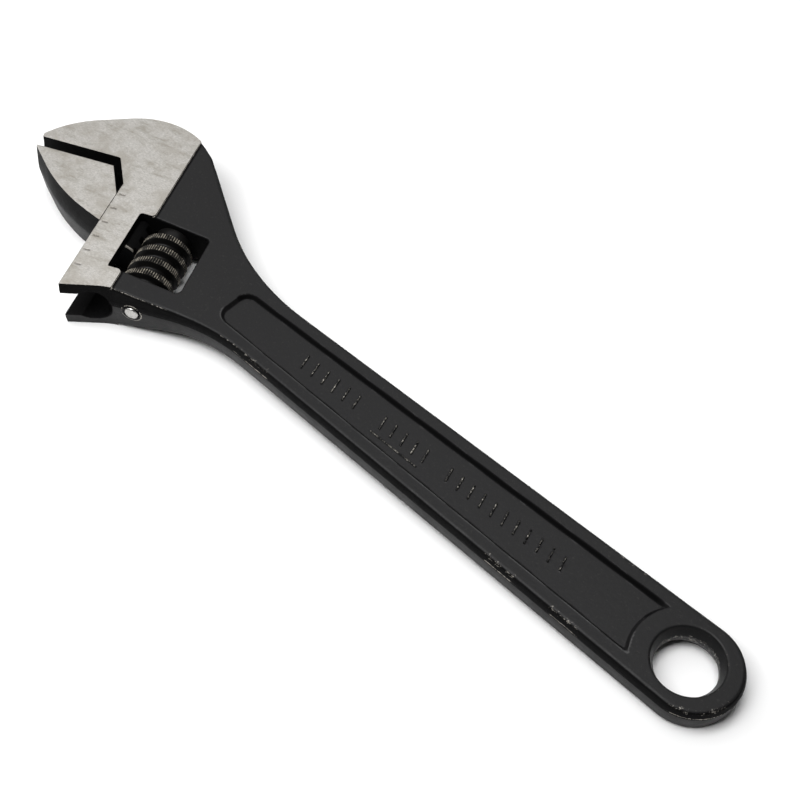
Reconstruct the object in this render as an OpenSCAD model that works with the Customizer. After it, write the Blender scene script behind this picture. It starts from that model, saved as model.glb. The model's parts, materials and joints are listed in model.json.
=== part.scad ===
// Adjustable wrench: forged body with fixed jaw, sliding jaw on a racked shank,
// right-hand thumb worm, worm pin and a small friction spring inside the worm.
// Origin: centre of the hanging hole at mid thickness. +X runs along the handle
// to the head, +Y to the side the sliding jaw opens towards, +Z is square to the
// flat cheeks.

/* [Overall] */
// Length over all, tail end to jaw tip
overall_len = 450; // [448:0.5:453]
// Angle of the jaw faces from the handle line
head_angle = 24; // [23.5:0.25:24.5]
// Thickness across the ground cheeks of the head
head_thk = 29; // [28.5:0.25:30]
// Thickness of the handle
handle_thk = 14; // [13.5:0.25:14.5]

/* [Handle] */
// Width of the handle at the hanging hole
tail_w = 45.6; // [44:0.2:47]
// Width of the handle where it meets the head
neck_w = 34.8; // [34:0.2:36]
// Radius of the narrow land inside the hanging hole
hole_r = 14; // [13:0.25:15]
// Radius of the hanging hole at the handle faces
hole_rim_r = 16.2; // [15.8:0.1:17]
// Depth of the long recess on each handle face
panel_depth = 2; // [1.5:0.1:2.5]

/* [Jaws] */
// Depth of the jaw faces from throat to tip
jaw_depth = 44.5; // [43.5:0.25:45.5]
// Opening between the jaw faces as shown
shown_opening = 6.4; // [5:0.1:8]
// Largest opening between the jaw faces
max_opening = 55; // [50:0.5:55]
// Distance from the throat corner back to the slide edge
slide_back = 9.5; // [9.25:0.05:9.75]
// Gap between the sliding jaw and the slide edge
slide_gap = 0.2; // [0.15:0.05:0.3]

/* [Keyhole and shank] */
// Radius of the round slideway in the head
slide_r = 9.9; // [9.8:0.05:10]
// Radial running clearance of the shank
shank_gap = 0.1; // [0.05:0.01:0.1]
// Depth of the slideway axis behind the throat corner
slide_s = 23.5; // [23.25:0.05:23.75]
// Half height of the neck slot beside the slideway
slot_half = 8; // [7.8:0.05:8.2]

/* [Worm] */
// Outside radius of the worm
worm_r = 13; // [12.9:0.05:13.1]
// Core radius of the worm between the threads
worm_core_r = 9.4; // [9.2:0.05:9.6]
// Plain hub left without thread at the far end of the worm
worm_hub = 7; // [0:0.5:8]
// Travel of the jaw for one turn of the worm
worm_lead = 8.2; // [8:0.05:8.4]
// Depth of the worm axis behind the throat corner
worm_s = 43.7; // [43.6:0.05:43.8]
// Radius of the worm pin
pin_r = 3.6; // [3.5:0.05:3.7]
// Radial running clearance of the worm on its pin
pin_gap = 0.08; // [0.05:0.01:0.1]

/* [Hidden] */
$fn = 64;
eps = 0.01;

head_h = head_thk / 2;
handle_h = handle_thk / 2;

// head frame: x runs along the jaw faces to the tips, y the way the jaw opens
tip_reach = 41.77;
tail_end = 24.5;
throat_x = overall_len - tail_end - tip_reach;
throat_y = -22.7;

// worm window, measured in the head frame
win_near = 26.5;
win_far = 64;
win_top = 32;
win_bot = 70;
win_round = 2.5;
worm_end_gap = 0.35;

// the sliding jaw's shank, measured from its own jaw face
shank_top = 2;
shank_bot = 45;
web_top = 17.6;
heel = 37.2;

// worm thread, tip and root lengths along the axis
tip_w = 3.1;
root_w = 5.0;
flank_gap = 0.22;
// height above the worm's lower end where a thread crest faces the shank
crest_rise = 2.6;
spring_r = 5.6;
spring_wire = 0.6;
spring_room = 6.7;
spring_depth = 8;

// boss round the pin's outer end
boss_r = 5.4;
boss_top = 83;

steel = [0.62, 0.61, 0.58];
black = [0.13, 0.13, 0.13];
dark = [0.2, 0.19, 0.18];

// a polygon whose corners [x, y, radius] are rounded with tangent arcs
function unit(v) = v / norm(v);
function corner_arc(a, b, c, r, n) =
  let (u = unit(a - b), v = unit(c - b), half = acos(max(-1, min(1, u * v))) / 2,
    d = r / tan(half), m = b + unit(u + v) * (r / sin(half)),
    p = b + u * d - m, q = b + v * d - m,
    a0 = atan2(p[1], p[0]), a1 = atan2(q[1], q[0]),
    da = a1 - a0 > 180 ? a1 - a0 - 360 : a1 - a0 < -180 ? a1 - a0 + 360 : a1 - a0)
  [for (i = [0:n]) m + r * [cos(a0 + da * i / n), sin(a0 + da * i / n)]];
function xy(p) = [p[0], p[1]];
function rounded(pts, n = 8) =
  [for (i = [0:len(pts) - 1])
    let (k = len(pts), a = xy(pts[(i + k - 1) % k]), b = xy(pts[i]), c = xy(pts[(i + 1) % k]))
    each (pts[i][2] > 0 ? corner_arc(a, b, c, pts[i][2], n) : [b])];

// from the head frame to the handle frame
function to_handle(p) =
  [throat_x + p[0] * cos(head_angle) - p[1] * sin(head_angle),
    throat_y + p[0] * sin(head_angle) + p[1] * cos(head_angle), p[2]];

module in_head() {
  translate([throat_x, throat_y, 0]) rotate([0, 0, head_angle]) children();
}

// a round bar along the opening direction, from y0 to y1 at depth s
module along(s, y0, y1, r) {
  translate([-s, y0, 0]) rotate([-90, 0, 0]) cylinder(h = y1 - y0, r = r);
}

// ---- body: handle and fixed jaw, one forging ----

// flat slice of the handle, for the drafted sides and broken edges
module handle_slice(inset, z) {
  x1 = 286;
  translate([0, 0, z - eps / 2]) linear_extrude(eps) polygon([
    each [for (a = [90:7.5:270]) [-1.7 + (tail_w / 2 - inset) * cos(a), (tail_w / 2 - inset) * sin(a)]],
    [x1, -(neck_w / 2 - inset)],
    [x1, neck_w / 2 - inset]
  ]);
}

module handle_bar() {
  hull() {
    handle_slice(2.1, handle_h - eps / 2);
    handle_slice(0.5, handle_h - 1.7);
    handle_slice(0, 0);
    handle_slice(0.5, -handle_h + 1.7);
    handle_slice(2.1, -handle_h + eps / 2);
  }
}

// outline of the head and fixed jaw, head-frame corners brought to the handle frame
function head_outline() = rounded([
  to_handle([0, 0, 0.4]),
  to_handle([jaw_depth, 0, 0.6]),
  to_handle([jaw_depth + 0.5, -2.4, 1.5]),
  to_handle([24.5, -20.4, 70]),
  to_handle([-1, -31.6, 50]),
  to_handle([-21.5, -32, 28]),
  to_handle([-40, -21.5, 32]),
  [284, -15.2, 118],
  [250, -14.6, 0],
  [250, 14.8, 0],
  [278.5, 15.6, 60],
  [321.8, 39.6, 35],
  to_handle([-slide_back, 88.6, 0.8]),
  to_handle([-slide_back, slide_back * tan(60), 0.6])
], 10);

// cheek height along the head: ground pad, small step, then a ramp to the handle
module cheek_profile() {
  pad_end = -34.3;
  step = 0.5;
  ramp_end = -70;
  rotate([90, 0, 0]) linear_extrude(260, center = true) polygon([
    [70, head_h], [pad_end, head_h], [pad_end - step, head_h - step], [ramp_end, handle_h],
    [-150, handle_h], [-150, -handle_h], [ramp_end, -handle_h],
    [pad_end - step, -head_h + step], [pad_end, -head_h], [70, -head_h]
  ]);
}

module head_block() {
  intersection() {
    linear_extrude(head_thk + 2, center = true) polygon(head_outline());
    in_head() cheek_profile();
  }
}

// long shallow recess with sloping walls, one on each face
function panel_outline(inset) = rounded([
  [20, -15.2 + inset, 4],
  [276 - inset, -10.9 + inset, 7],
  [276 - inset, 10.9 - inset, 7],
  [20, 15.2 - inset, 4]
], 8);

module panel_cut() {
  difference() {
    hull() {
      translate([0, 0, handle_h + eps]) linear_extrude(eps) polygon(panel_outline(0));
      translate([0, 0, handle_h - panel_depth]) linear_extrude(eps) polygon(panel_outline(1.8));
    }
    translate([0, 0, handle_h - panel_depth - 1])
      cylinder(h = panel_depth + 2, r1 = 24.8 + 0.9, r2 = 23.8 - 0.8);
  }
}

module hanging_hole() {
  land = 1.5;
  cylinder(h = 2 * land, r = hole_r, center = true);
  for (side = [0, 1]) mirror([0, 0, side]) {
    translate([0, 0, land]) cylinder(h = handle_h - land, r1 = hole_r, r2 = hole_rim_r);
    translate([0, 0, handle_h]) cylinder(h = 1, r = hole_rim_r);
  }
}

module worm_window() {
  linear_extrude(head_thk + 4, center = true) polygon(rounded([
    [-win_near, win_top, win_round],
    [-win_near, win_bot, win_round],
    [-win_far, win_bot, win_round],
    [-win_far, win_top, win_round]
  ], 6));
}

module slideway() {
  top = shank_top - 1;
  along(slide_s, top, 110, slide_r);
  translate([-slide_s, web_top - 0.6, -slot_half]) cube([slide_s, 110, 2 * slot_half]);
}

module pin_hole() {
  along(worm_s, 18, 110, pin_r);
  translate([-worm_s, boss_top - 0.9, 0]) rotate([-90, 0, 0]) cylinder(h = 2, r1 = pin_r, r2 = pin_r + 2);
}

// low round boss that backs the pin's peened end
module pin_boss() {
  along(worm_s, 74, boss_top, boss_r);
}

// scale graduations along the slide edge
module graduations() {
  for (i = [0:5]) {
    long = i % 5 == 0 ? 3.4 : 2.2;
    translate([-slide_back - 0.01, 24 + 10 * i, head_h - 0.25]) translate([-long, -0.25, 0]) cube([long, 0.5, 1]);
  }
}

module body() {
  color(black) difference() {
    union() {
      handle_bar();
      head_block();
      in_head() pin_boss();
    }
    hanging_hole();
    for (side = [0, 1]) mirror([0, 0, side]) panel_cut();
    in_head() {
      worm_window();
      slideway();
      pin_hole();
      graduations();
    }
  }
}

// ---- sliding jaw with its neck, shank and rack ----

function jaw_outline() =
  let (edge = -slide_back + slide_gap, slant = 0.7)
  rounded([
    [slant, 0, 0.3],
    [jaw_depth - 0.2, 0, 0.6],
    [jaw_depth, 1.0, 0.8],
    [19.4, 25.4, 105],
    [edge, heel, 0.8],
    [edge, (slant - edge) * tan(60), 0.5]
  ], 10);

// one rack space: the worm thread's own profile plus clearance, slanted to its lead
module rack_space() {
  pitch_r = 11.7;
  slant = atan(worm_lead / (2 * PI * pitch_r));
  bottom = -(worm_s - worm_r - 0.4);
  mouth = -(slide_s + slide_r + 1);
  wide = root_w / 2 + flank_gap + 0.35;
  deep = tip_w / 2 + flank_gap;
  rotate([slant, 0, 0]) linear_extrude(30, center = true) polygon([
    [bottom, -deep], [bottom, deep], [mouth, wide], [mouth, -wide]
  ]);
}

module sliding_jaw() {
  // rack phase: a worm thread crest faces the shank at this height
  crest = win_top + worm_end_gap + crest_rise;
  color(steel) in_head() translate([0, shown_opening, 0]) {
    linear_extrude(head_thk, center = true) polygon(jaw_outline());
    translate([-slide_s, web_top, -slot_half + 0.15])
      cube([slide_s - slide_back + slide_gap + 0.5, heel - web_top - 1.2, 2 * slot_half - 0.3]);
    difference() {
      union() {
        along(slide_s, shank_top, shank_bot - 1, slide_r - shank_gap);
        translate([-slide_s, shank_bot - 1, 0]) rotate([-90, 0, 0])
          cylinder(h = 1, r1 = slide_r - shank_gap, r2 = slide_r - shank_gap - 1);
      }
      for (i = [-3:2]) translate([0, crest - shown_opening + i * worm_lead, 0]) rack_space();
    }
  }
}

// ---- worm ----

// right-hand helical ridge around +Z, crest centre facing +X at z = 0
module thread_ridge(turns) {
  steps = 40;
  n = steps * turns;
  r0 = worm_core_r - 0.5;
  w0 = root_w / 2 + 0.25;
  w1 = tip_w / 2;
  ring = [[r0, -w0], [r0, w0], [worm_r, w1], [worm_r, -w1]];
  pts = [for (i = [0:n]) let (a = 360 * i / steps, z = worm_lead * i / steps)
    for (p = ring) [p[0] * cos(a), p[0] * sin(a), z + p[1]]];
  faces = [
    [0, 1, 2], [0, 2, 3],
    for (i = [0:n - 1], k = [0:3])
      let (a = 4 * i + k, b = 4 * i + (k + 1) % 4, c = b + 4, d = a + 4)
      each [[a, c, b], [a, d, c]],
    [4 * n, 4 * n + 2, 4 * n + 1], [4 * n, 4 * n + 3, 4 * n + 2]
  ];
  polyhedron(points = pts, faces = faces);
}

module worm() {
  length = win_bot - win_top - 2 * worm_end_gap;
  turns = 7;
  color(dark) in_head() translate([-worm_s, win_top + worm_end_gap, 0]) rotate([-90, 0, 0])
    difference() {
      union() {
        cylinder(h = length, r = worm_core_r);
        intersection() {
          translate([0, 0, crest_rise - worm_lead]) thread_ridge(turns);
          translate([0, 0, worm_hub]) cylinder(h = length - worm_hub, r = worm_r + 1);
        }
      }
      translate([0, 0, -1]) cylinder(h = length + 2, r = pin_r + pin_gap);
      translate([0, 0, -1]) cylinder(h = spring_depth + 1, r = spring_room);
    }
}

// ---- worm pin ----

module worm_pin() {
  tip = 1.2;
  last = boss_top + 0.8;
  color(steel) in_head() {
    along(worm_s, 18.5 + tip, last - 0.8, pin_r);
    translate([-worm_s, 18.5, 0]) rotate([-90, 0, 0]) cylinder(h = tip, r1 = pin_r - 0.8, r2 = pin_r);
    translate([-worm_s, last - 0.8, 0]) rotate([-90, 0, 0]) cylinder(h = 0.8, r1 = pin_r, r2 = pin_r - 0.8);
  }
}

// ---- friction spring inside the worm ----

module worm_spring() {
  coils = 4.5;
  steps = 20;
  n = floor(coils * steps);
  sides = 8;
  rise = (spring_depth + worm_end_gap - 2 * spring_wire - 0.1) / n;
  pts = [for (i = [0:n], k = [0:sides - 1])
    let (a = 360 * i / steps, b = 360 * k / sides, r = spring_r - 0.3 + spring_wire * cos(b))
    [r * cos(a), r * sin(a), spring_wire + 0.05 + i * rise + spring_wire * sin(b)]];
  faces = [
    for (k = [1:sides - 2]) [0, k + 1, k],
    for (i = [0:n - 1], k = [0:sides - 1])
      let (a = sides * i + k, b = sides * i + (k + 1) % sides, c = b + sides, d = a + sides)
      each [[a, b, c], [a, c, d]],
    for (k = [1:sides - 2]) [sides * n, sides * n + k, sides * n + k + 1]
  ];
  color(steel) in_head() translate([-worm_s, win_top, 0]) rotate([-90, 0, 0])
    polyhedron(points = pts, faces = faces);
}

body();
sliding_jaw();
worm();
worm_pin();
worm_spring();
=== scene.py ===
"""Looks of the adjustable wrench: every CAD node is replaced by a finished mesh on the same body.

The shapes are signed distance fields, in millimetres, in the CAD frame: negative inside the steel.
A forging has a drafted outline, a parting line and rounded edges; grinding and machining then cut
it with flat planes, so the bright faces get crisp borders as they do in the workshop.
"""
import json
import math

import bpy
import numpy as np
from mathutils import Matrix, Vector


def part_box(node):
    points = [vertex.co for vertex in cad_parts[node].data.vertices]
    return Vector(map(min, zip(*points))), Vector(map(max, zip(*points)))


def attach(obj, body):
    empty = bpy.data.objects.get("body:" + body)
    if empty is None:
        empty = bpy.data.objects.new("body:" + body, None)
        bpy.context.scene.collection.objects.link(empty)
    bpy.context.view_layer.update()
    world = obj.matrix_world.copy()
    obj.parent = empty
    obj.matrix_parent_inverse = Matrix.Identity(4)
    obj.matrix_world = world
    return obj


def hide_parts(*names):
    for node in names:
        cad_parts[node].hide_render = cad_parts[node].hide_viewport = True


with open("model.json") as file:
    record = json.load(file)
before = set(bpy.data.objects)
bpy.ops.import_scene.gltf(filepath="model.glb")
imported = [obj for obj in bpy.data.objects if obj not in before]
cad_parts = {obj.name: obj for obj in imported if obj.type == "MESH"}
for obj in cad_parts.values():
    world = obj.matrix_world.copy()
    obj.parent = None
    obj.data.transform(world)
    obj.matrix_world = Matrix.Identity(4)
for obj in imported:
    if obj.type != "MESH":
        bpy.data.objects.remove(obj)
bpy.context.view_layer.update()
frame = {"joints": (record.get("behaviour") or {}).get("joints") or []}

MM = 0.001
COARSE = 1.0

# ---- driving dimensions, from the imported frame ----

joints = {joint["name"]: joint for joint in frame["joints"]}
slide_axis = joints["jaw_slide"]["axis"]
HEAD_ANGLE = math.atan2(-slide_axis[0], slide_axis[1])
BODY_LOW, BODY_HIGH = (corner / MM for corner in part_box("body"))
HEAD_H = BODY_HIGH.z
OVERALL = BODY_HIGH.x - BODY_LOW.x
TAIL_END = -BODY_LOW.x

# ---- dimensions shared with the CAD source, in millimetres ----

HANDLE_H = 7.0
HOLE_R = 14.0
HOLE_RIM_R = 16.2
HOLE_LAND = 1.5
PANEL_DEPTH = 2.0
JAW_DEPTH = 44.5
SHOWN_OPENING = 6.4
SLIDE_BACK = 9.5
SLIDE_GAP = 0.2
SLIDE_R = 9.9
SHANK_GAP = 0.1
SLIDE_S = 23.5
SLOT_HALF = 8.0
WORM_R = 13.0
WORM_CORE_R = 9.4
WORM_LEAD = 8.2
WORM_S = 43.7
PIN_R = 3.6
PIN_GAP = 0.08
TIP_REACH = 41.77
THROAT_Y = -22.7
THROAT = (OVERALL - TAIL_END - TIP_REACH, THROAT_Y)
WIN_NEAR, WIN_FAR = 26.5, 64.0
WIN_TOP, WIN_BOT = 32.0, 70.0
WORM_END_GAP = 0.35
CREST_RISE = 2.6
WORM_HUB = 7.0
SHANK_TOP, SHANK_BOT = 2.0, 45.0
WEB_TOP, HEEL = 17.6, 37.2
THREAD_TIP_W, RACK_ROOT_W, FLANK_GAP = 3.1, 5.0, 0.22
PIN_BOSS_R, PIN_BOSS_TOP = 5.4, 83.0
SPRING_R, SPRING_WIRE, SPRING_ROOM, SPRING_DEPTH = 5.6, 0.6, 6.7, 8.0
PIN_HOLE_BOTTOM = 18.0

# ---- finish of the forging and the worm, in millimetres ----

# close to the CAD's values, but set for the looks
PANEL_WALL = 1.9
BOSS_R = 24.8
THREAD_ROOT_W = 5.5
THREAD_ROOT_R = WORM_CORE_R - 0.5

# corner radius and half widths of the handle at its brink; the draft and the parting line
# widen them by up to 1 mm
TAIL_R = 21.7
TAIL_HALF = 22.2
NECK_HALF = 17.1
DRAFT = math.tan(math.radians(6.0))
PARTING_Z = 2.8
PARTING_STEP = 0.5
FORGED_EDGE = 1.5
WINDOW_EDGE = 0.9
MACHINED_EDGE = 0.3
PAD_END = -34.3
# where the ramp from handle to head starts, and its height at the ground pad
RAMP_FOOT, RAMP_TOP = -70.0, 13.8
# the jaw's gripping face stands back a little, so that the closed faces don't cut into each other
FACE_GAP = 0.15
# where the jaw's slanted throat face meets its gripping face
SLANT_FOOT = 0.9
THROAT_SLOPE = math.radians(30)


def to_handle(s, o):
    """From the head frame (s along the jaw faces, o the way the jaw opens) to the handle frame."""
    c, n = math.cos(HEAD_ANGLE), math.sin(HEAD_ANGLE)
    return THROAT[0] + s * c - o * n, THROAT[1] + s * n + o * c


def to_head(x, y):
    """From the handle frame to the head frame."""
    c, n = math.cos(HEAD_ANGLE), math.sin(HEAD_ANGLE)
    u, v = x - THROAT[0], y - THROAT[1]
    return u * c + v * n, -u * n + v * c


# ---- distance fields ----

class Outline:
    """Closed outline through corners (x, y, radius), counter-clockwise, rounded with tangent arcs."""

    def __init__(self, corners):
        points = [np.array(corner[:2], float) for corner in corners]
        count = len(corners)
        self.arcs = []
        ends = []
        for i, (x, y, radius) in enumerate(corners):
            here = points[i]
            before = points[i - 1] - here
            after = points[(i + 1) % count] - here
            before /= np.linalg.norm(before)
            after /= np.linalg.norm(after)
            half = math.acos(np.clip(before @ after, -1, 1)) / 2
            middle = (before + after) / np.linalg.norm(before + after)
            centre = here + middle * radius / math.sin(half)
            reach = radius / math.tan(half)
            turn = before[0] * after[1] - before[1] * after[0]
            convex = 1.0 if turn < 0 else -1.0
            self.arcs.append((centre, radius, -middle, math.cos(math.pi / 2 - half), convex))
            ends.append((here + before * reach, here + after * reach))
        self.lines = [(ends[i][1], ends[(i + 1) % count][0]) for i in range(count)]

    def distance(self, x, y):
        """Signed distance, negative inside."""
        x, y = np.broadcast_arrays(x, y)
        best = np.full(x.shape, 1e9, x.dtype)
        signed = np.full(x.shape, 1e9, x.dtype)
        for a, b in self.lines:
            d = b - a
            length = math.hypot(*d)
            if length < 1e-9:
                continue
            u, v = x - a[0], y - a[1]
            t = np.clip((u * d[0] + v * d[1]) / length**2, 0, 1)
            off = np.hypot(u - t * d[0], v - t * d[1])
            outside = u * d[1] - v * d[0] > 0
            near = off < best
            best = np.where(near, off, best)
            signed = np.where(near, np.where(outside, off, -off), signed)
        for centre, radius, middle, reach, convex in self.arcs:
            u, v = x - centre[0], y - centre[1]
            far = np.hypot(u, v)
            off = far - radius
            near = (np.abs(off) < best) & (u * middle[0] + v * middle[1] > reach * far)
            best = np.where(near, np.abs(off), best)
            signed = np.where(near, convex * off, signed)
        return signed


def both(a, b, radius):
    """Inside both fields, with a convex edge of that radius."""
    corner = np.hypot(np.maximum(a + radius, 0), np.maximum(b + radius, 0))
    return np.minimum(np.maximum(a, b), -radius) + corner


def either(a, b, radius):
    """Inside one of the fields, with a fillet of that radius between them."""
    return -both(-a, -b, radius)


def cut(a, b, radius):
    """Inside a and outside b."""
    return both(a, -b, radius)


def soft_max(a, b, blend):
    """The larger value, with a smooth bend where the two are within about that blend."""
    return 0.5 * (a + b + np.sqrt((a - b) ** 2 + blend**2))


def ease(t):
    """0 below 0, 1 above 1, with a smooth rise between."""
    t = np.clip(t, 0, 1)
    return t * t * (3 - 2 * t)


def wrap(value, period):
    """value brought to the middle of its period, from -period / 2 to period / 2."""
    return value - period * np.round(value / period)


# ---- outlines ----

# finished with draft, it stands up to 4.3 mm outside the CAD's outline, most of all at the neck
BODY_OUTLINE = Outline([
    (*to_handle(JAW_DEPTH - 1.1, 5), 0.3),
    (357.2, 70.0, 0.3),
    (321.8, 39.6, 35),
    (273.5, NECK_HALF, 95),
    (0.4 - TAIL_END, TAIL_HALF, TAIL_R),
    (0.4 - TAIL_END, -TAIL_HALF, TAIL_R),
    (281.4, -NECK_HALF, 133.4),
    (*to_handle(-42.9, -19.1), 16.6),
    (*to_handle(-17.4, -40.3), 43.0),
    (*to_handle(36.1, -15.1), 55.0),
    (*to_handle(JAW_DEPTH + 0.5, -2.4), 1.5),
])
MOUTH = Outline([
    (0, 0, 1.6),
    (140, 0, 5),
    (140, 150, 5),
    (-SLIDE_BACK, 150, 5),
    (-SLIDE_BACK, SLIDE_BACK * math.tan(math.radians(60)), 0.6),
])
WINDOW = Outline([
    (-WIN_NEAR, WIN_TOP, 1.8),
    (-WIN_NEAR, WIN_BOT, 1.0),
    (-WIN_FAR, WIN_BOT, 3.0),
    (-WIN_FAR, WIN_TOP, 2.2),
])
PANEL = Outline([
    (20, 15.2, 1.0),
    (20, -15.2, 1.0),
    (276, -10.9, 7),
    (276, 10.9, 7),
])
JAW_EDGE = SLIDE_GAP - SLIDE_BACK
JAW_OUTLINE = Outline([
    (-25, -6, 1),
    (JAW_DEPTH - 0.2, -6, 0.5),
    (JAW_DEPTH, 1.0, 1.0),
    (19.4, 25.4, 105),
    (JAW_EDGE - 0.6, HEEL + 0.25, 1),
    (-25, HEEL + 0.25, 1),
])


# ---- the body ----

def forged_height(x, y, s, o):
    """Half height of the forging: high under the ground pad, a ramp, the handle and its panel."""
    ramp = HANDLE_H + (s - RAMP_FOOT) * (RAMP_TOP - HANDLE_H) / (PAD_END - RAMP_FOOT)
    height = soft_max(HANDLE_H, np.minimum(ramp, RAMP_TOP), 1.6)
    pad_step, pad_top = 6.0, HEAD_H + 2.5
    height = np.minimum(soft_max(height, RAMP_TOP - pad_step * outside_pad(s, o), 0.2), pad_top)
    near_corner = 0.6 + 2.4 * ease(y / 8)
    inset = -both(PANEL.distance(x, y), BOSS_R - np.hypot(x, y), near_corner)
    t = inset / PANEL_WALL
    return height - PANEL_DEPTH * (0.2 * np.clip(t, 0, 1) + 0.8 * ease(t)) + raised_marks(x, y)


def outside_pad(s, o):
    """Distance from the ground pad, which goes round the window with rounded corners."""
    return both(PAD_END - s, -WINDOW.distance(s, o) - 0.3, 2.4)


# groups of raised bars: x of the bar nearest the head, number of bars, pitch, half length
BAR_GROUPS = ((225.0, 6, 6.8, 3.6), (174.0, 5, 6.6, 3.4), (133.0, 11, 6.6, 3.4))


def raised_marks(x, y):
    """Three groups of plain slanted bars forged on the panel floor, the middle one underlined."""
    height = 0.0
    lean, half_width, rise = 0.28, 0.75, 0.55
    for start, count, pitch, half in BAR_GROUPS:
        middle = start - pitch * (count - 1) / 2
        u = x - middle + lean * y
        nearest = np.clip(np.round(u / pitch + (count - 1) / 2), 0, count - 1) - (count - 1) / 2
        across = np.abs(u - nearest * pitch)
        along = np.maximum(np.abs(y) - half, 0)
        bar = np.hypot(across, along) - half_width
        height = np.maximum(height, rise * ease(-bar / 0.6))
    underline = np.hypot(np.maximum(np.abs(x - 161) - 14, 0), y - 7.2) - 0.65
    return np.maximum(height, 0.5 * ease(-underline / 0.6))


def drafted(z, brink):
    """How far a forged side stands out at height z beyond its outline at the brink."""
    round_off = 2.5
    return DRAFT * (brink - np.sqrt(z * z + round_off**2) + round_off / 2)


def parting_step(z):
    """The upper half of the forging stands a little proud just above the parting line."""
    over = z - PARTING_Z
    return PARTING_STEP * np.clip(over / 0.3, 0, 1) * ease((2.6 - over) / 2.2)


def hanging_hole(x, y, up):
    """The hole in the tail: a narrow land at mid thickness, opening out to the rims."""
    return np.hypot(x, y) - HOLE_R - np.maximum(up - HOLE_LAND, 0) * (HOLE_RIM_R - HOLE_R) / (
        HANDLE_H - HOLE_LAND)


def slideway(s, o, z):
    """Round bore for the jaw's shank, and the slot for the web that joins shank and jaw."""
    bore = np.maximum(np.hypot(s + SLIDE_S, z) - SLIDE_R, SHANK_TOP - 1 - o)
    slot = np.maximum(np.maximum(np.abs(z) - SLOT_HALF, -s - SLIDE_S), WEB_TOP - 0.6 - o)
    return np.minimum(bore, slot)


def pin_hole(s, o, z):
    """Blind hole along the worm's axis, countersunk in the boss."""
    countersink = np.clip(o - PIN_BOSS_TOP + 0.9, 0, 2)
    return np.maximum(np.hypot(s + WORM_S, z) - PIN_R - countersink, PIN_HOLE_BOTTOM - o)


def pin_boss(s, o, z):
    """Low round boss under the pin's hammered end."""
    foot = 72
    around = both(np.hypot(s + WORM_S, z) - PIN_BOSS_R, o - PIN_BOSS_TOP, 0.4)
    return np.maximum(around, foot - o)


def graduations(s, o, up):
    """Shallow cuts across the ground edge of the slide, one each centimetre."""
    first, spacing, middle, reach = 24, 10, 49, 26  # along o
    half_width, half_length, depth = 0.3, 1.6, 0.2
    across = np.maximum(np.abs(wrap(o - first, spacing)) - half_width, np.abs(o - middle) - reach)
    along = np.abs(s + SLIDE_BACK + 3.0) - half_length
    return np.maximum(np.maximum(across, along), HEAD_H - depth - up)


def forging_side(x, y, z, height):
    """Distance from the drafted side of the forging."""
    brink = np.clip(height, HANDLE_H, HEAD_H)
    return BODY_OUTLINE.distance(x, y) - drafted(z, brink) - parting_step(z)


def body_field(x, y, z):
    """The forging with its boss, window, ground cheeks, machined mouth, slideway and holes."""
    s, o = to_head(x, y)
    up = np.abs(z)
    height = forged_height(x, y, s, o)
    field = both(forging_side(x, y, z, height), up - height, FORGED_EDGE)
    field = either(field, pin_boss(s, o, z), 0.5)
    field = cut(field, WINDOW.distance(s, o), WINDOW_EDGE)
    field = np.maximum(field, up - HEAD_H)
    field = cut(field, MOUTH.distance(s, o), MACHINED_EDGE)
    field = cut(field, slideway(s, o, z), MACHINED_EDGE)
    field = cut(field, graduations(s, o, up), 0.05)
    field = cut(field, pin_hole(s, o, z), 0.15)
    return cut(field, hanging_hole(x, y, up), 0.7)


# places where handling rubs the black off the edges: x, y, reach
WORN_PLACES = (
    (-14, 12, 21), (43, -19, 17), (85, 18, 15), (50, 19, 14), (240, 20, 14), (258, 17, 12),
    (303, 28, 17), (317, 35, 12), (297, -24, 16),
)


def near_line(distance, width):
    """1 close to a line or face, falling to 0 at one and a half widths."""
    return ease(1.5 - distance / width)


def handled_wear(x, y, rim, parting):
    """Wear in the worn places: a line on the rim, specks beside it and a line on the parting."""
    place = 0.0
    for px, py, reach in WORN_PLACES:
        place = np.maximum(place, ease(2 * (1 - np.hypot(x - px, y - py) / reach)))
    on_handle = ease((270 - x) / 20)
    wear_and_highlight = np.maximum(0.47 * near_line(rim, 2.6), 0.64 * near_line(parting, 0.4)) * on_handle
    return place * np.maximum(wear_and_highlight, (0.9 - 0.12 * on_handle) * near_line(rim, 0.7))


def worn_and_highlight_edges(x, y, z, s, o, height, side):
    """How far the black gives way to bare steel, from 0 to 1: rubbed off the edges, and in
    bare lines and patches that are painted highlights and a painted reflection.
    """
    up = np.abs(z)
    radius = np.hypot(x, y)
    wear_and_highlight = handled_wear(x, y, np.hypot(side, up - height), np.hypot(side, z - PARTING_Z - 0.5))
    # the thin broken bare line on the window's rim is a painted highlight
    window_rim = np.hypot(WINDOW.distance(s, o), up - height)
    boss_rim = np.hypot(np.hypot(s + WORM_S, z) - PIN_BOSS_R + 0.2, o - PIN_BOSS_TOP)
    # the bare line on the hole's top rim is a painted highlight
    hole_rim = np.hypot(radius - HOLE_RIM_R - 0.2, up - height)
    # bare specks on the raised bars' tops are painted glints
    bars = ease(raised_marks(x, y) / 0.3) * ease((up - 3) / 1) * (BOSS_R < radius)
    # the bare line along the ground pad's border is partly a burr, partly a painted highlight
    pad_rim = near_line(np.abs(outside_pad(s, o)), 0.2) * ease((up - 12) / 1)
    # bare patches on the hole's land are a painted reflection of the floor
    hole_land = ease((HOLE_R + 0.6 - radius) / 0.4)
    shares = (
        (near_line(window_rim, 0.5), 0.50), (near_line(boss_rim, 0.4), 0.80), (hole_land, 0.50),
        (bars, 0.56), (pad_rim, 0.8), (near_line(hole_rim, 0.35), 0.45),
    )
    for edge, share in shares:
        wear_and_highlight = np.maximum(wear_and_highlight, share * edge)
    return wear_and_highlight


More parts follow.
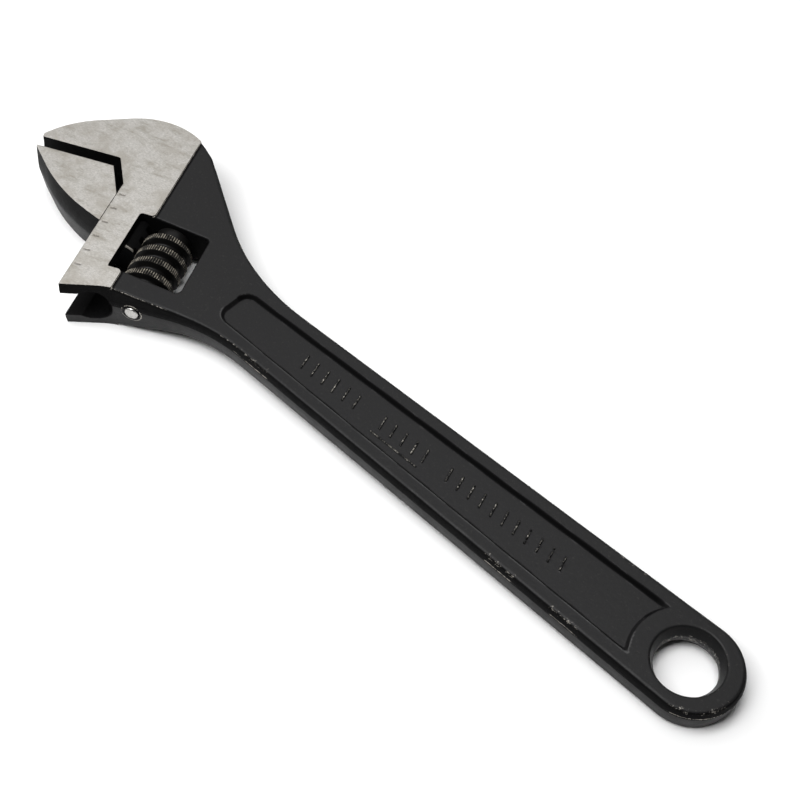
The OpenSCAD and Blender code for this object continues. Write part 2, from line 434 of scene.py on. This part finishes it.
def painted_shade_places(x, y, z, s, o, height, side):
    """Painted shade, which darkens and dulls the black, from 0 to 1: the upper sides, the inner
    walls, the panel's far wall, the pad's crevice.

    Below zero, along the brink of the panel's near wall, it shines more than elsewhere.
    """
    up = np.abs(z)
    over = z - PARTING_Z
    # painted shade on the upper side above the parting line, lighter on the proud strip
    strip = ease((over - 0.2) / 0.3) * ease((2.2 - over) / 0.4)
    flank = ease((over + 1.0) / 0.3) * (1 - 0.65 * strip)
    flank = flank * near_line(np.abs(side), 0.4) * ease((height - 0.2 - up) / 0.4)
    # painted shade on the inner walls of window, slideway and mouth, less on the window's near wall
    inner = np.minimum(np.abs(WINDOW.distance(s, o)), np.abs(slideway(s, o, z)))
    inner = np.minimum(inner, np.abs(MOUTH.distance(s, o)))
    inner = near_line(inner, 0.3) * ease((height - up) / 0.6)
    inner = 0.6 * inner * (1 - 0.4 * near_line(np.abs(s + WIN_NEAR), 1.0))
    radius = np.hypot(x, y)
    wall = -both(PANEL.distance(x, y), BOSS_R - radius, 0.6) / PANEL_WALL
    # painted shade on the panel's far wall
    far_wall = ease(wall / 0.2) * ease((1.0 - wall) / 0.3) * ease((-3 - y) / 3) * ease((x - 22) / 6)
    pad = outside_pad(s, o)
    # painted shade in the crevice beside the ground pad
    crevice = ease((pad - 0.2) / 0.1) * ease((1.1 - pad) / 0.3) * ease((up - 12) / 1)
    painted_shade = np.maximum(np.maximum(flank, inner), np.maximum(far_wall, crevice))
    # below zero along the panel's near brink: more shine there, to catch a highlight line
    near_brink = 0.6 * ease(1 - np.abs(wall - 0.1) / 0.3) * ease((y - 4) / 2)
    return painted_shade - near_brink * (radius > BOSS_R) * (painted_shade < 0.1)


def body_marks(x, y, z):
    """Wear and painted highlights on edges, painted shade, and the darkened graduations."""
    s, o = to_head(x, y)
    height = forged_height(x, y, s, o)
    side = forging_side(x, y, z, height)
    return {
        # bare steel from wear, and bare lines that are painted highlights
        "wear_and_highlight": worn_and_highlight_edges(x, y, z, s, o, height, side),
        # painted shade, with more shine along the panel's near brink
        "painted_shade": painted_shade_places(x, y, z, s, o, height, side),
        "engraved": 0.6 * ease(1 - graduations(s, o, HEAD_H) / 0.4),
    }


# ---- the sliding jaw ----

def rack(s, o, z):
    """The spaces between the rack teeth, slanted to the worm's lead."""
    mesh_r = 11.7
    slant = math.atan(WORM_LEAD / (2 * math.pi * mesh_r))
    crest = WIN_TOP + WORM_END_GAP + CREST_RISE
    across = wrap((o - crest) * math.cos(slant) + z * math.sin(slant), WORM_LEAD * math.cos(slant))
    bottom = -(WORM_S - WORM_R - 0.4)
    mouth = -(SLIDE_S + SLIDE_R + 1)
    deep, wide = THREAD_TIP_W / 2 + FLANK_GAP, RACK_ROOT_W / 2 + FLANK_GAP + 0.35
    half = deep + (wide - deep) * (s - bottom) / (mouth - bottom)
    flank = math.hypot(1, (wide - deep) / (mouth - bottom))
    return both((np.abs(across) - half) / flank, s - bottom, 0.3)


def jaw_field(x, y, z):
    """Blade with the gripping face, web in the slot, and round shank with the rack."""
    s, o = to_head(x, y)
    rise = o - SHOWN_OPENING
    up = np.abs(z)
    side = JAW_OUTLINE.distance(s, rise) - drafted(z, HEAD_H)
    throat = -(s - SLANT_FOOT) * math.cos(THROAT_SLOPE) - rise * math.sin(THROAT_SLOPE)
    blade = np.maximum(side, up - HEAD_H)
    blade = both(blade, FACE_GAP - rise, MACHINED_EDGE)
    blade = both(blade, JAW_EDGE - s, MACHINED_EDGE)
    blade = both(blade, throat, MACHINED_EDGE)
    web = np.maximum(np.maximum(up - SLOT_HALF + 0.15, s - JAW_EDGE - 0.5), -s - SLIDE_S)
    web = both(np.maximum(web, WEB_TOP - rise), rise - HEEL + 1.2, 0.8)
    radius = np.hypot(s + SLIDE_S, z)
    shank = both(radius - SLIDE_R + SHANK_GAP, np.abs(rise - (SHANK_TOP + SHANK_BOT) / 2)
                 - (SHANK_BOT - SHANK_TOP) / 2, 0.9)
    shank = cut(shank, rack(s, o, z), 0.2)
    return np.minimum(blade, np.minimum(web, shank))


def jaw_marks(x, y, z):
    """A bright shank end; painted shade on the shank and rack, and painted shade that darkens
    the black sides towards the top.
    """
    s, o = to_head(x, y)
    end = SHOWN_OPENING + SHANK_BOT - 0.4
    shank_rim = np.hypot(np.hypot(s + SLIDE_S, z) - SLIDE_R + 0.4, o - end)
    inner = ease((JAW_EDGE + 0.2 - s) / 0.4)
    return {
        "wear_and_highlight": near_line(shank_rim, 0.6),
        # painted shade on the web and shank inside the slideway, and painted shade growing towards the
        # top
        "painted_shade": np.maximum(0.5 * inner, 0.75 * ease((z + 6) / 16)),
    }


# ---- worm, pin and spring ----

def worm_field(x, y, z):
    """Core with a notched helical thread, a plain hub, a bore and a pocket for the spring."""
    s, o = to_head(x, y)
    rise = o - WIN_TOP - WORM_END_GAP
    length = WIN_BOT - WIN_TOP - 2 * WORM_END_GAP
    radius = np.hypot(s + WORM_S, z)
    angle = np.arctan2(-z, s + WORM_S)
    off = np.abs(wrap(rise - CREST_RISE - WORM_LEAD * angle / (2 * math.pi), WORM_LEAD))
    taper = (THREAD_ROOT_W - THREAD_TIP_W) / 2 / (WORM_R - THREAD_ROOT_R)
    half = THREAD_TIP_W / 2 + (WORM_R - radius) * taper
    serrations, depth = 64, 0.4
    notch = np.abs(wrap(angle * serrations / (2 * math.pi), 1)) * 2
    crest = radius - WORM_R + depth * np.clip(1.8 * notch - 0.5, 0, 1)
    ridge = both((off - half) / math.hypot(1, taper), crest, 0.2)
    ridge = both(ridge, WORM_HUB - rise, 0.2)
    core = radius - WORM_CORE_R
    field = either(core, ridge, 0.7)
    field = both(field, np.abs(rise - length / 2) - length / 2, 0.25)
    bore = np.minimum(radius - PIN_R - PIN_GAP,
                      np.maximum(radius - SPRING_ROOM, rise - SPRING_DEPTH))
    return cut(field, bore, 0.15)


def worm_marks(x, y, z):
    """The tops of the thread's fine teeth are rubbed bright."""
    s, o = to_head(x, y)
    radius = np.hypot(s + WORM_S, z)
    return {"wear_and_highlight": ease((radius - WORM_R + 0.16) / 0.1)}


def pin_field(x, y, z):
    """The outer end of the pin, domed by hammering over the boss.

    The dome is a whole sphere, so it also ends the shaft, 15 mm below the dome's top.
    """
    s, o = to_head(x, y)
    radius = np.hypot(s + WORM_S, z)
    shaft = both(radius - PIN_R, PIN_HOLE_BOTTOM + 0.5 - o, 0.8)
    dome_centre, dome_r = PIN_BOSS_TOP - 6.2, 7.6
    dome = np.sqrt(radius**2 + (o - dome_centre) ** 2) - dome_r
    return both(shaft, dome, 0.5)


# ---- dual contouring ----

def stepped(*stretches):
    """Grid lines over stretches (start, end, step); each stretch starts where the last one ends."""
    lines = [stretches[0][0]]
    for start, end, step in stretches:
        count = max(2, round((end - start) / (step * COARSE)))
        lines += [start + (end - start) * (i + 1) / count for i in range(count)]
    return np.array(lines)


def crossings(field, values, grid, axis):
    """Where grid lines along one axis cross the surface: lower corner, point, normal, direction."""
    inside = values < 0
    low = [slice(None)] * 3
    high = [slice(None)] * 3
    low[axis] = slice(None, -1)
    high[axis] = slice(1, None)
    index = np.argwhere(inside[tuple(low)] != inside[tuple(high)])
    ahead = index.copy()
    ahead[:, axis] += 1
    a = np.stack([grid[k][index[:, k]] for k in range(3)], 1)
    b = np.stack([grid[k][ahead[:, k]] for k in range(3)], 1)
    fa = values[tuple(index.T)].astype(float)
    fb = values[tuple(ahead.T)].astype(float)
    entering = fa > 0
    for _ in range(4):
        t = np.clip(fa / (fa - fb), 0.02, 0.98)[:, None]
        point = a + (b - a) * t
        f = field(*point.T)
        same = (f > 0) == (fa > 0)
        a = np.where(same[:, None], point, a)
        fb = np.where(same, fb, f)
        b = np.where(same[:, None], b, point)
        fa = np.where(same, f, fa)
    t = np.clip(fa / (fa - fb), 0, 1)[:, None]
    point = a + (b - a) * t
    return index, point, gradient(field, point), entering


def gradient(field, point, reach=0.01):
    """Unit normals of the field by differences to the four corners of a small tetrahedron."""
    total = np.zeros_like(point)
    for corner in ((1, 1, 1), (1, -1, -1), (-1, 1, -1), (-1, -1, 1)):
        corner = np.array(corner, float)
        total += field(*(point + reach * corner).T)[:, None] * corner
    return total / np.maximum(np.linalg.norm(total, axis=1, keepdims=True), 1e-12)


def contour(field, xs, ys, zs):
    """Points and triangles of the surface field = 0, with a point on each sharp edge it passes."""
    grid = [xs, ys, zs]
    values = field(*(g.astype(np.float32).reshape(shape) for g, shape in zip(
        grid, ((-1, 1, 1), (1, -1, 1), (1, 1, -1)))))
    size = np.array(values.shape) - 1
    found = []
    for axis in range(3):
        index, point, normal, entering = crossings(field, values, grid, axis)
        across = [k for k in range(3) if k != axis]
        around = []
        for da, db in ((0, 0), (1, 0), (1, 1), (0, 1)):
            cell = index.copy()
            cell[:, across[0]] -= da
            cell[:, across[1]] -= db
            around.append((cell[:, 0] * size[1] + cell[:, 1]) * size[2] + cell[:, 2])
        around = np.stack(around, 1)
        flip = entering if axis == 1 else ~entering
        around[flip] = around[flip][:, ::-1]
        found.append((around, point, normal))
    around, point, normal = (np.concatenate(part) for part in zip(*found))
    cells, corner = np.unique(around, return_inverse=True)
    corner = corner.reshape(around.shape)
    vertices = place_points(cells, corner, point, normal, grid, size)
    return vertices, split_quads(vertices, corner, point, normal)


def place_points(cells, corner, point, normal, grid, size):
    """One point a cell, where the planes of its crossings meet best, kept inside the cell."""
    flat = corner.ravel()
    count = len(cells)

    def gather(values):
        return np.bincount(flat, np.repeat(values, 4), count)

    share = np.bincount(flat, minlength=count)
    mean = np.stack([gather(point[:, k]) for k in range(3)], 1) / share[:, None]
    offset = (normal * point).sum(1)
    a = np.empty((count, 3, 3))
    for i in range(3):
        for j in range(i, 3):
            a[:, i, j] = a[:, j, i] = gather(normal[:, i] * normal[:, j])
    b = np.stack([gather(normal[:, k] * offset) for k in range(3)], 1)
    b -= np.einsum("nij,nj->ni", a, mean)
    value, vector = np.linalg.eigh(a)
    keep = value > 0.06 * value[:, 2:3]
    inverse = np.where(keep, 1 / np.where(keep, value, 1), 0)
    move = np.einsum("nij,nj,nkj,nk->ni", vector, inverse, vector, b)
    index = np.stack([cells // (size[1] * size[2]), cells // size[2] % size[1], cells % size[2]], 1)
    low = np.stack([grid[k][index[:, k]] for k in range(3)], 1)
    high = np.stack([grid[k][index[:, k] + 1] for k in range(3)], 1)
    slack = 0.05 * (high - low)
    return np.clip(mean + move, low - slack, high + slack)


def split_quads(vertices, quads, point, normal):
    """Triangles of the quads, each cut along the diagonal that lies closer to the surface."""
    v = vertices[quads]
    first = np.abs((((v[:, 0] + v[:, 2]) / 2 - point) * normal).sum(1))
    second = np.abs((((v[:, 1] + v[:, 3]) / 2 - point) * normal).sum(1))
    turned = np.where((second < first)[:, None], np.roll(quads, -1, 1), quads)
    return np.concatenate([turned[:, [0, 1, 2]], turned[:, [0, 2, 3]]])


# ---- meshes ----

def mesh_piece(name, body, nodes, slot, vertices, triangles, attributes=None):
    """A piece on a body, standing for CAD nodes, from points in millimetres."""
    mesh = bpy.data.meshes.new(name)
    mesh.vertices.add(len(vertices))
    mesh.vertices.foreach_set("co", (vertices * MM).astype(np.float32).ravel())
    mesh.loops.add(triangles.size)
    mesh.loops.foreach_set("vertex_index", triangles.astype(np.int32).ravel())
    mesh.polygons.add(len(triangles))
    starts = np.arange(0, triangles.size, triangles.shape[1], dtype=np.int32)
    mesh.polygons.foreach_set("loop_start", starts)
    mesh.update(calc_edges=True)
    mesh.validate()
    for key, values in (attributes or {}).items():
        layer = mesh.attributes.new(key, "FLOAT", "POINT")
        layer.data.foreach_set("value", values.astype(np.float32))
    mesh.shade_smooth()
    mesh.set_sharp_from_angle(angle=math.radians(32))
    obj = bpy.data.objects.new(name, mesh)
    bpy.context.scene.collection.objects.link(obj)
    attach(obj, body)
    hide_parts(*nodes)
    return obj


def field_piece(name, body, nodes, slot, field, grid, marks=None):
    """A piece from a field on a grid; marks gives the attributes its material reads."""
    vertices, triangles = contour(field, *grid)
    attributes = marks(*vertices.T) if marks else None
    return mesh_piece(name, body, nodes, slot, vertices, triangles, attributes)


def around_box(node, step, margin=2.6):
    """An even grid round a CAD node's box."""
    low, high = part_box(node)
    return [stepped((low[k] / MM - margin, high[k] / MM + margin, step)) for k in range(3)]


def spring_mesh():
    """The coil spring's wire as a swept circle."""
    coils, steps, sides = 4.5, 40, 12
    count = int(coils * steps)
    rise = (SPRING_DEPTH + WORM_END_GAP - 2 * SPRING_WIRE - 0.1) / count
    points = []
    for i in range(count + 1):
        turn = 2 * math.pi * i / steps
        for k in range(sides):
            around = 2 * math.pi * k / sides
            radius = SPRING_R - 0.3 + SPRING_WIRE * math.cos(around)
            o = WIN_TOP + SPRING_WIRE + 0.05 + i * rise + SPRING_WIRE * math.sin(around)
            x, y = to_handle(-WORM_S + radius * math.cos(turn), o)
            points.append((x, y, -radius * math.sin(turn)))
    faces = []
    for i in range(count):
        for k in range(sides):
            a, b = sides * i + k, sides * i + (k + 1) % sides
            faces += [(a, b, b + sides), (a, b + sides, a + sides)]
    for base, order in ((0, -1), (sides * count, 1)):
        for k in range(1, sides - 1):
            faces.append((base, base + k, base + k + 1)[::order])
    return np.array(points), np.array(faces)


# ---- materials ----

class Nodes:
    """Short calls for building one material's node tree."""

    def __init__(self, name):
        self.material = bpy.data.materials.new(name)
        self.material.use_nodes = True
        self.tree = self.material.node_tree
        self.shader = self.tree.nodes["Principled BSDF"]
        self.place = self.add("ShaderNodeTexCoord").outputs["Object"]

    def add(self, kind, **inputs):
        node = self.tree.nodes.new(kind)
        for key, value in inputs.items():
            self.put(node.inputs[key], value)
        return node

    def put(self, socket, value):
        if isinstance(value, bpy.types.NodeSocket):
            self.tree.links.new(value, socket)
        else:
            socket.default_value = value

    def set(self, **inputs):
        for key, value in inputs.items():
            self.put(self.shader.inputs[key.replace("_", " ")], value)

    def noise(self, size_mm, detail=3.0, stretch=None, roughness=0.5):
        """Noise from 0 to 1 with blobs of about that size."""
        place = self.place
        if stretch:
            mapping = self.add("ShaderNodeMapping", Vector=place, Scale=stretch[0], Rotation=stretch[1])
            mapping.vector_type = "TEXTURE"
            place = mapping.outputs["Vector"]
        node = self.add("ShaderNodeTexNoise", Vector=place, Scale=1 / (size_mm * MM), Detail=detail,
                        Roughness=roughness)
        return node.outputs["Fac"]

    def attribute(self, name):
        node = self.add("ShaderNodeAttribute")
        node.attribute_name = name
        return node.outputs["Fac"]

    def remap(self, value, low, high, to_low=0.0, to_high=1.0):
        node = self.add("ShaderNodeMapRange")
        node.interpolation_type = "SMOOTHSTEP"
        for key, item in (("Value", value), ("From Min", low), ("From Max", high),
                          ("To Min", to_low), ("To Max", to_high)):
            self.put(node.inputs[key], item)
        return node.outputs["Result"]

    def math(self, operation, a, b=0.0):
        node = self.add("ShaderNodeMath")
        node.operation = operation
        self.put(node.inputs[0], a)
        self.put(node.inputs[1], b)
        return node.outputs[0]

    def mix(self, share, a, b):
        node = self.add("ShaderNodeMix")
        node.data_type = "RGBA"
        self.put(node.inputs["Factor"], share)
        self.put(node.inputs[6], a)
        self.put(node.inputs[7], b)
        return node.outputs[2]

    def bump(self, height, distance_mm, strength=1.0):
        node = self.add("ShaderNodeBump", Height=height, Distance=distance_mm * MM, Strength=strength)
        return node.outputs["Normal"]


def black_phosphate():
    """Oiled black phosphate on a forging, darkened by painted shade in crevices and recesses,
    and rubbed to bare steel on edges, where some bare lines are painted highlights.
    """
    n = Nodes("black_phosphate")
    cloud, grain = n.noise(9.0), n.noise(0.5, 4.0)
    painted_shade = n.attribute("painted_shade")
    pits = n.remap(n.noise(1.3, 6.0, None, 0.65), 0.57, 0.70)
    patchy = n.math("MULTIPLY", n.math("SUBTRACT", n.noise(1.5, 7.0, None, 0.8), 0.5), 1.3)
    # bare steel where worn, and where thin bare lines are painted highlights
    bare = n.remap(n.math("ADD", n.attribute("wear_and_highlight"), patchy), 0.54, 0.68)
    dark = n.mix(cloud, (0.0045, 0.0044, 0.0048, 1), (0.0085, 0.0083, 0.0088, 1))
    dark = n.mix(n.math("MULTIPLY", pits, 0.5), dark, (0.026, 0.025, 0.023, 1))
    # painted shade: the black goes nearly to 0.0025 where the painted shade is full
    dark = n.mix(painted_shade, dark, (0.0025, 0.0025, 0.0026, 1))
    steel = n.mix(grain, (0.25, 0.23, 0.20, 1), (0.48, 0.46, 0.42, 1))
    height = n.math("ADD", n.math("MULTIPLY", n.noise(2.4, 4.0), 0.7), n.math("MULTIPLY", grain, 0.3))
    mottle = n.math("ADD", n.math("MULTIPLY", cloud, 0.5), n.math("MULTIPLY", grain, 0.5))
    rough = n.math("ADD", n.remap(mottle, 0.3, 0.7, 0.40, 0.56), n.math("MULTIPLY", painted_shade, 0.2))
    # the painted shade lowers the reflection; below zero, along the panel's near brink, it raises it
    shine = n.math("MAXIMUM", n.math("SUBTRACT", 0.23, painted_shade), 0.05)
    n.set(Base_Color=n.mix(bare, dark, steel), Metallic=bare, Roughness=rough,
          Normal=n.bump(height, 0.20, 0.7), Specular_IOR_Level=shine)
    return n.material


def ground_steel():
    """Surface-ground steel: fine scratches, mottled stains, dark specks and spots of rust."""
    n = Nodes("ground_steel")
    turn = (0, 0, math.radians(14))
    grain = n.noise(0.5, 7.0, ((3.0, 1.0, 1.0), turn), 0.8)
    stain = n.noise(14.0, 6.0, None, 0.68)
    smear = n.noise(4.5, 6.0, ((3.0, 1.0, 1.0), turn), 0.7)
    speck = n.remap(n.noise(0.9, 6.0, ((2.0, 1.0, 1.0), turn), 0.75), 0.60, 0.70)
    rust = n.remap(n.noise(5.0, 6.0, None, 0.72), 0.655, 0.74)
    base = n.mix(n.remap(grain, 0.25, 0.75), (0.31, 0.298, 0.28, 1), (0.69, 0.67, 0.635, 1))
    base = n.mix(n.remap(stain, 0.42, 0.64, 0.0, 0.65), base, (0.36, 0.335, 0.295, 1))
    base = n.mix(n.remap(smear, 0.48, 0.70, 0.0, 0.65), base, (0.29, 0.27, 0.23, 1))
    base = n.mix(n.math("MULTIPLY", speck, 0.6), base, (0.16, 0.14, 0.11, 1))
    base = n.mix(n.math("MULTIPLY", rust, 0.85), base, (0.12, 0.085, 0.05, 1))
    base = n.mix(n.attribute("engraved"), base, (0.08, 0.07, 0.06, 1))
    mottle = n.math("ADD", n.math("MULTIPLY", grain, 0.6), n.math("MULTIPLY", stain, 0.4))
    rough = n.remap(mottle, 0.3, 0.7, 0.34, 0.52)
    n.set(Base_Color=base, Metallic=0.9, Roughness=rough, Normal=n.bump(grain, 0.08, 0.5))
    return n.material


def oiled_worm():
    """Dark oiled steel whose fine teeth are rubbed bright."""
    n = Nodes("oiled_worm")
    grain = n.noise(0.4, 4.0)
    patchy = n.remap(n.noise(3.0, 5.0), 0.40, 0.62, 0.08, 0.85)
    bare = n.math("MULTIPLY", n.attribute("wear_and_highlight"), patchy)
    dark = n.mix(n.noise(3.0), (0.003, 0.003, 0.0032, 1), (0.008, 0.0075, 0.007, 1))
    steel = n.mix(grain, (0.20, 0.175, 0.13, 1), (0.62, 0.57, 0.49, 1))
    n.set(Base_Color=n.mix(bare, dark, steel), Metallic=n.math("MULTIPLY", bare, 0.9),
          Roughness=n.remap(grain, 0.3, 0.7, 0.30, 0.46), Normal=n.bump(grain, 0.05, 0.5),
          Specular_IOR_Level=0.15)
    return n.material


def turned_steel(name="turned_steel", tint=(0.62, 0.61, 0.59, 1)):
    """Bright turned steel with hammer marks."""
    n = Nodes(name)
    dents = n.noise(1.4, 3.0)
    base = n.mix(n.noise(0.6, 4.0), (0.35, 0.34, 0.32, 1), tint)
    n.set(Base_Color=base, Metallic=1.0, Roughness=n.remap(dents, 0.3, 0.7, 0.24, 0.42),
          Normal=n.bump(dents, 0.25, 0.6))
    return n.material


def floor_paper():
    """Smooth white paper."""
    n = Nodes("floor_paper")
    base = n.mix(n.noise(60.0), (0.93, 0.93, 0.93, 1), (0.955, 0.955, 0.955, 1))
    n.set(Base_Color=base, Roughness=0.75, Specular_IOR_Level=0.2)
    return n.material


def paint_ground_faces(obj, black, steel):
    """Black all over, ground steel on the flat faces at the full height of the head."""
    obj.data.materials.append(black)
    obj.data.materials.append(steel)
    mesh = obj.data
    tolerance = 0.25
    corners = np.empty(len(mesh.loops), np.int32)
    mesh.loops.foreach_get("vertex_index", corners)
    points = np.empty(len(mesh.vertices) * 3, np.float32)
    mesh.vertices.foreach_get("co", points)
    level = np.abs(points.reshape(-1, 3)[:, 2])[corners.reshape(-1, 3)] / MM
    ground = (level > HEAD_H - tolerance).all(1)
    mesh.polygons.foreach_set("material_index", ground.astype(np.int32))


# ---- pieces ----

def build_pieces():
    """The five pieces; the body's grid lines lie closer where it has more detail."""
    black, steel = black_phosphate(), ground_steel()
    z_lines = stepped((-HEAD_H - 0.8, HEAD_H + 0.8, 0.5))
    body_grid = [
        stepped((-TAIL_END - 1.2, 28, 0.65), (28, 88, 1.2), (88, 236, 0.6), (236, 318, 0.85),
                (318, OVERALL - TAIL_END + 2.4, 0.5)),
        stepped((BODY_LOW.y - 2.6, BODY_HIGH.y + 2.6, 0.5)),
        z_lines,
    ]
    body = field_piece("forged_body", "frame", ["body"], "black_phosphate", body_field, body_grid,
                       body_marks)
    paint_ground_faces(body, black, steel)

    jaw_grid = around_box("sliding_jaw", 0.42)
    jaw_grid[2] = stepped((-HEAD_H - 0.6, HEAD_H + 0.6, 0.42))
    jaw = field_piece("jaw_forging", "jaw", ["sliding_jaw"], "ground_steel", jaw_field, jaw_grid,
                      jaw_marks)
    paint_ground_faces(jaw, black, steel)

    worm = field_piece("thumb_worm_screw", "thumb_worm", ["worm"], "blackened_worm", worm_field,
                       around_box("worm", 0.28, 0.7), worm_marks)
    worm.data.materials.append(oiled_worm())

    pin = field_piece("pin", "frame", ["worm_pin"], "pin_steel", pin_field,
                      around_box("worm_pin", 0.3, 2.5))
    pin.data.materials.append(turned_steel())

    spring = mesh_piece("friction_spring", "frame", ["worm_spring"], "spring_steel", *spring_mesh())
    spring.data.materials.append(turned_steel("spring_wire", (0.5, 0.5, 0.5, 1)))


# ---- floor, lights and camera ----

# points of the floor plane, x and z, under the head and under the tail
FLOOR_REST = (350.0, -14.5)
FLOOR_TAIL = (-22.0, -7.0)


def build_floor():
    """A plain floor that the head's ground cheek and the tail both touch."""
    (x0, z0), (x1, z1) = FLOOR_REST, FLOOR_TAIL
    slope = (z0 - z1) / (x0 - x1)
    half, clearance = 3.0, 0.0002
    corners = []
    for a, b in ((-half, -half), (half, -half), (half, half), (-half, half)):
        corners.append((a, b, z0 * MM + slope * (a - x0 * MM) - clearance))
    mesh = bpy.data.meshes.new("floor")
    mesh.from_pydata(corners, [], [(0, 1, 2, 3)])
    floor = bpy.data.objects.new("floor", mesh)
    floor.data.materials.append(floor_paper())
    bpy.context.scene.collection.objects.link(floor)


def area_light(name, place, aim, size, power):
    """A rectangular light at a place in metres, turned to a point."""
    light = bpy.data.lights.new(name, "AREA")
    light.shape = "RECTANGLE"
    light.size, light.size_y = size
    light.energy = power
    obj = bpy.data.objects.new(name, light)
    obj.location = place
    obj.rotation_mode = "QUATERNION"
    obj.rotation_quaternion = (Vector(aim) - Vector(place)).to_track_quat("-Z", "Y")
    bpy.context.scene.collection.objects.link(obj)


def build_lights():
    """A softbox beyond the wrench, a narrow light overhead, a fill light and a dim world."""
    centre = (0.2, 0.0, 0.0)
    area_light("far_softbox", (0.776, -0.675, 1.21), centre, (1.8, 1.4), 9)
    area_light("overhead", (0.34, 0.32, 1.4), centre, (0.7, 1.4), 22)
    area_light("fill", (0.9, 0.5, 0.7), centre, (0.8, 0.8), 4)
    world = bpy.data.worlds.new("studio")
    world.use_nodes = True
    world.node_tree.nodes["Background"].inputs["Color"].default_value = (1, 1, 1, 1)
    world.node_tree.nodes["Background"].inputs["Strength"].default_value = 0.03
    bpy.context.scene.world = world
    bpy.context.scene.view_settings.view_transform = "Standard"


# degrees, millimetres and, for the lens, millimetres on a 36 mm sensor
CAMERA_AZIMUTH = 220.506
CAMERA_ELEVATION = 53.739
CAMERA_ROLL = 3.083
CAMERA_AIM = (179.829, -18.079)
CAMERA_DISTANCE = 665.867
CAMERA_LENS = 63.5


def build_camera():
    """The camera at the photograph's angle."""
    azimuth, elevation, roll = (
        math.radians(v) for v in (CAMERA_AZIMUTH, CAMERA_ELEVATION, CAMERA_ROLL))
    back = Vector((math.sin(azimuth) * math.cos(elevation),
                   -math.cos(azimuth) * math.cos(elevation), math.sin(elevation)))
    level = Vector((math.cos(azimuth), math.sin(azimuth), 0))
    up = back.cross(level)
    right = level * math.cos(roll) + up * math.sin(roll)
    up = back.cross(right)
    place = Vector((*CAMERA_AIM, 0)) + back * CAMERA_DISTANCE
    data = bpy.data.cameras.new("camera")
    data.lens, data.sensor_width = CAMERA_LENS, 36.0
    data.clip_start, data.clip_end = 0.01, 20.0
    camera = bpy.data.objects.new("camera", data)
    turn = Matrix((right, up, back)).transposed().to_4x4()
    camera.matrix_world = Matrix.Translation(place * MM) @ turn
    bpy.context.scene.collection.objects.link(camera)
    bpy.context.scene.camera = camera


build_pieces()
build_floor()
build_lights()
build_camera()
bpy.context.view_layer.update()
